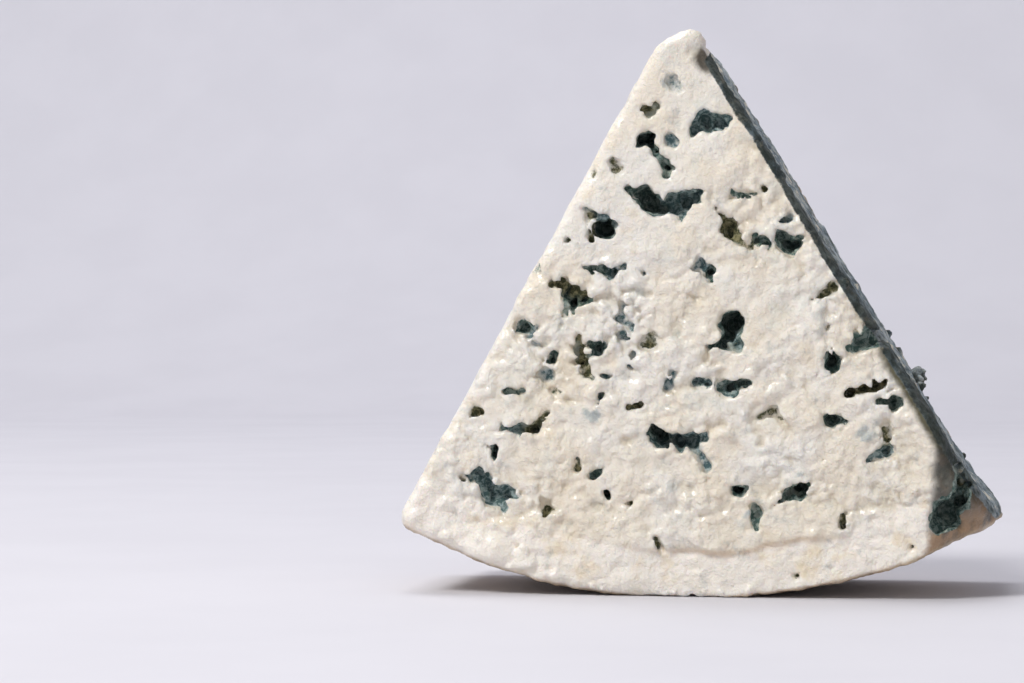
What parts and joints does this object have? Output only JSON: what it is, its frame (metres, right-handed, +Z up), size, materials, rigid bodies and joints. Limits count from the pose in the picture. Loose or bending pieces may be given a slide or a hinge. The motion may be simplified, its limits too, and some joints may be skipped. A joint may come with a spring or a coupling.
{
  "type": "wedge of blue-veined cheese",
  "caption": "Cream-coloured wedge of blue cheese with blue-green mould cavities, standing upright on its curved rind.",
  "frame": {"origin": "middle of the bounding box in plan, at the height of the flat patch of rind it stands on", "axes": "+Z up from the rind towards the tip, -Y out of the veined front face, +X to the viewer's right"},
  "size_m": [0.0988, 0.042, 0.0946],
  "materials": {
    "cheese": "moist cream-white paste with blue-green mould in its cavities, thin tan rind"
  },
  "bodies": {
    "root": {"cheese_wedge": "cheese"}
  },
  "joints": []
}
